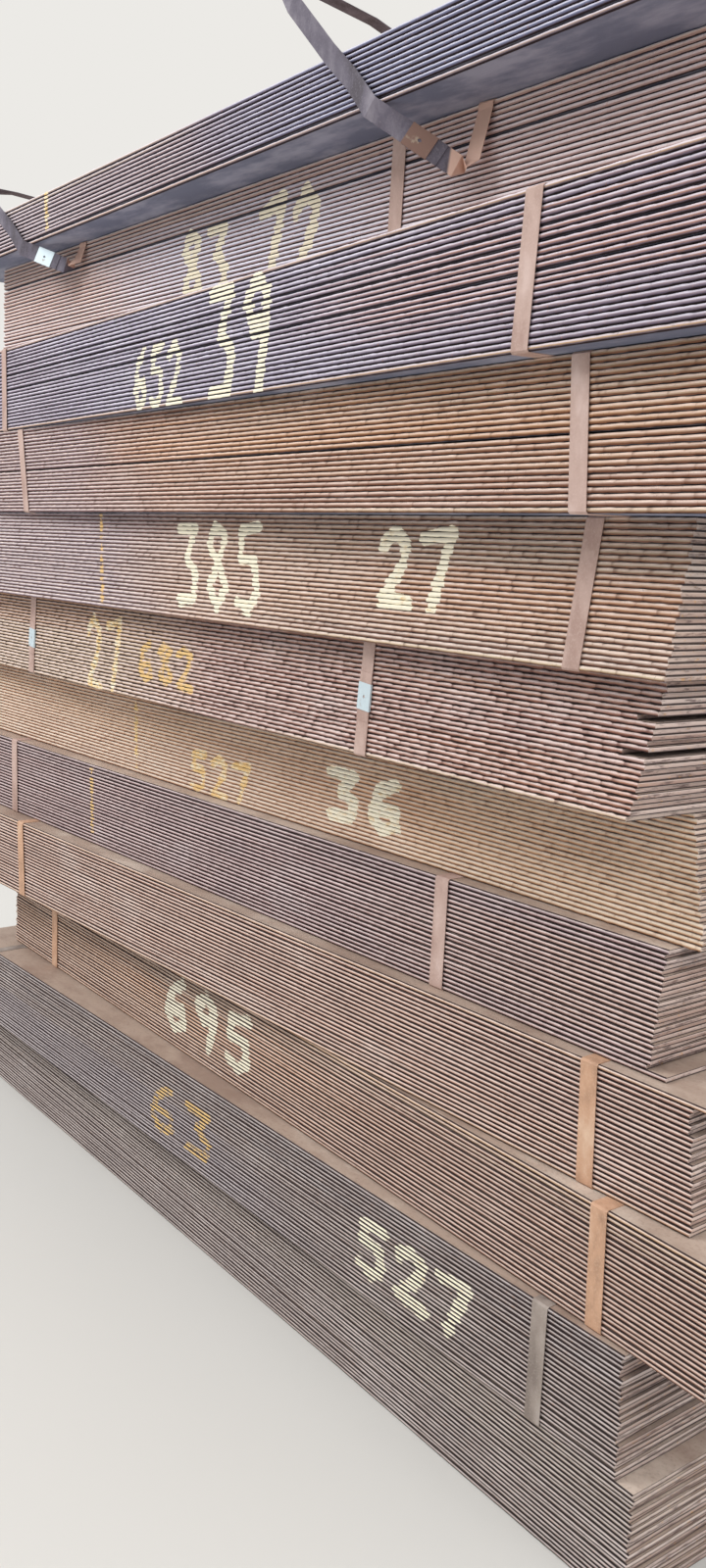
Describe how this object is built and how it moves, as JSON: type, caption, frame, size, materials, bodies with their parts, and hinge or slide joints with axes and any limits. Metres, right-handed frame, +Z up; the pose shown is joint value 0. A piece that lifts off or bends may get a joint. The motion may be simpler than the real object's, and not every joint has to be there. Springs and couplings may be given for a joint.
{
  "type": "stack of steel plates",
  "caption": "Tall stack of strapped bundles of flat hot-rolled steel plate, weathered to rust, with round mill edges, ragged sheared ends and steel banding.",
  "frame": {"origin": "middle of the underside of the lowest bundle, on the floor", "axes": "+X along the plates' length, to the right seen from the front; +Y from the front face to the back; +Z up"},
  "size_m": [2.8152, 1.5209, 2.3926],
  "materials": {
    "rusted_plate": "hot-rolled mill scale under brown and orange rust",
    "strap_steel": "rusted steel strapping",
    "seal_zinc": "dull zinc with rusty edges"
  },
  "bodies": {
    "root": {"bundle_01": "rusted_plate", "bundle_02": "rusted_plate", "bundle_03": "rusted_plate", "bundle_04": "rusted_plate", "bundle_05": "rusted_plate", "bundle_06": "rusted_plate", "bundle_07": "rusted_plate", "bundle_08": "rusted_plate", "bundle_09": "rusted_plate", "bundle_10": "rusted_plate", "bundle_11": "rusted_plate", "bundle_12": "rusted_plate", "seal_02_left": "seal_zinc", "seal_02_right": "seal_zinc", "seal_03_left": "seal_zinc", "seal_03_right": "seal_zinc", "seal_04_left": "seal_zinc", "seal_04_right": "seal_zinc", "seal_05_left": "seal_zinc", "seal_05_right": "seal_zinc", "seal_07_left": "seal_zinc", "seal_07_right": "seal_zinc", "seal_08_left": "seal_zinc", "seal_08_right": "seal_zinc", "seal_09_left": "seal_zinc", "seal_09_right": "seal_zinc", "seal_10_left": "seal_zinc", "seal_10_right": "seal_zinc", "seal_11": "seal_zinc", "seal_12_left": "seal_zinc", "seal_12_right": "seal_zinc", "strap_02_left": "strap_steel", "strap_02_right": "strap_steel", "strap_03_left": "strap_steel", "strap_03_right": "strap_steel", "strap_04_left": "strap_steel", "strap_04_right": "strap_steel", "strap_05_left": "strap_steel", "strap_05_right": "strap_steel", "strap_07_left": "strap_steel", "strap_07_right": "strap_steel", "strap_08_left": "strap_steel", "strap_08_right": "strap_steel", "strap_09_left": "strap_steel", "strap_09_right": "strap_steel", "strap_10_left": "strap_steel", "strap_10_right": "strap_steel", "strap_11": "strap_steel", "strap_12_left": "strap_steel", "strap_12_right": "strap_steel"}
  },
  "joints": []
}
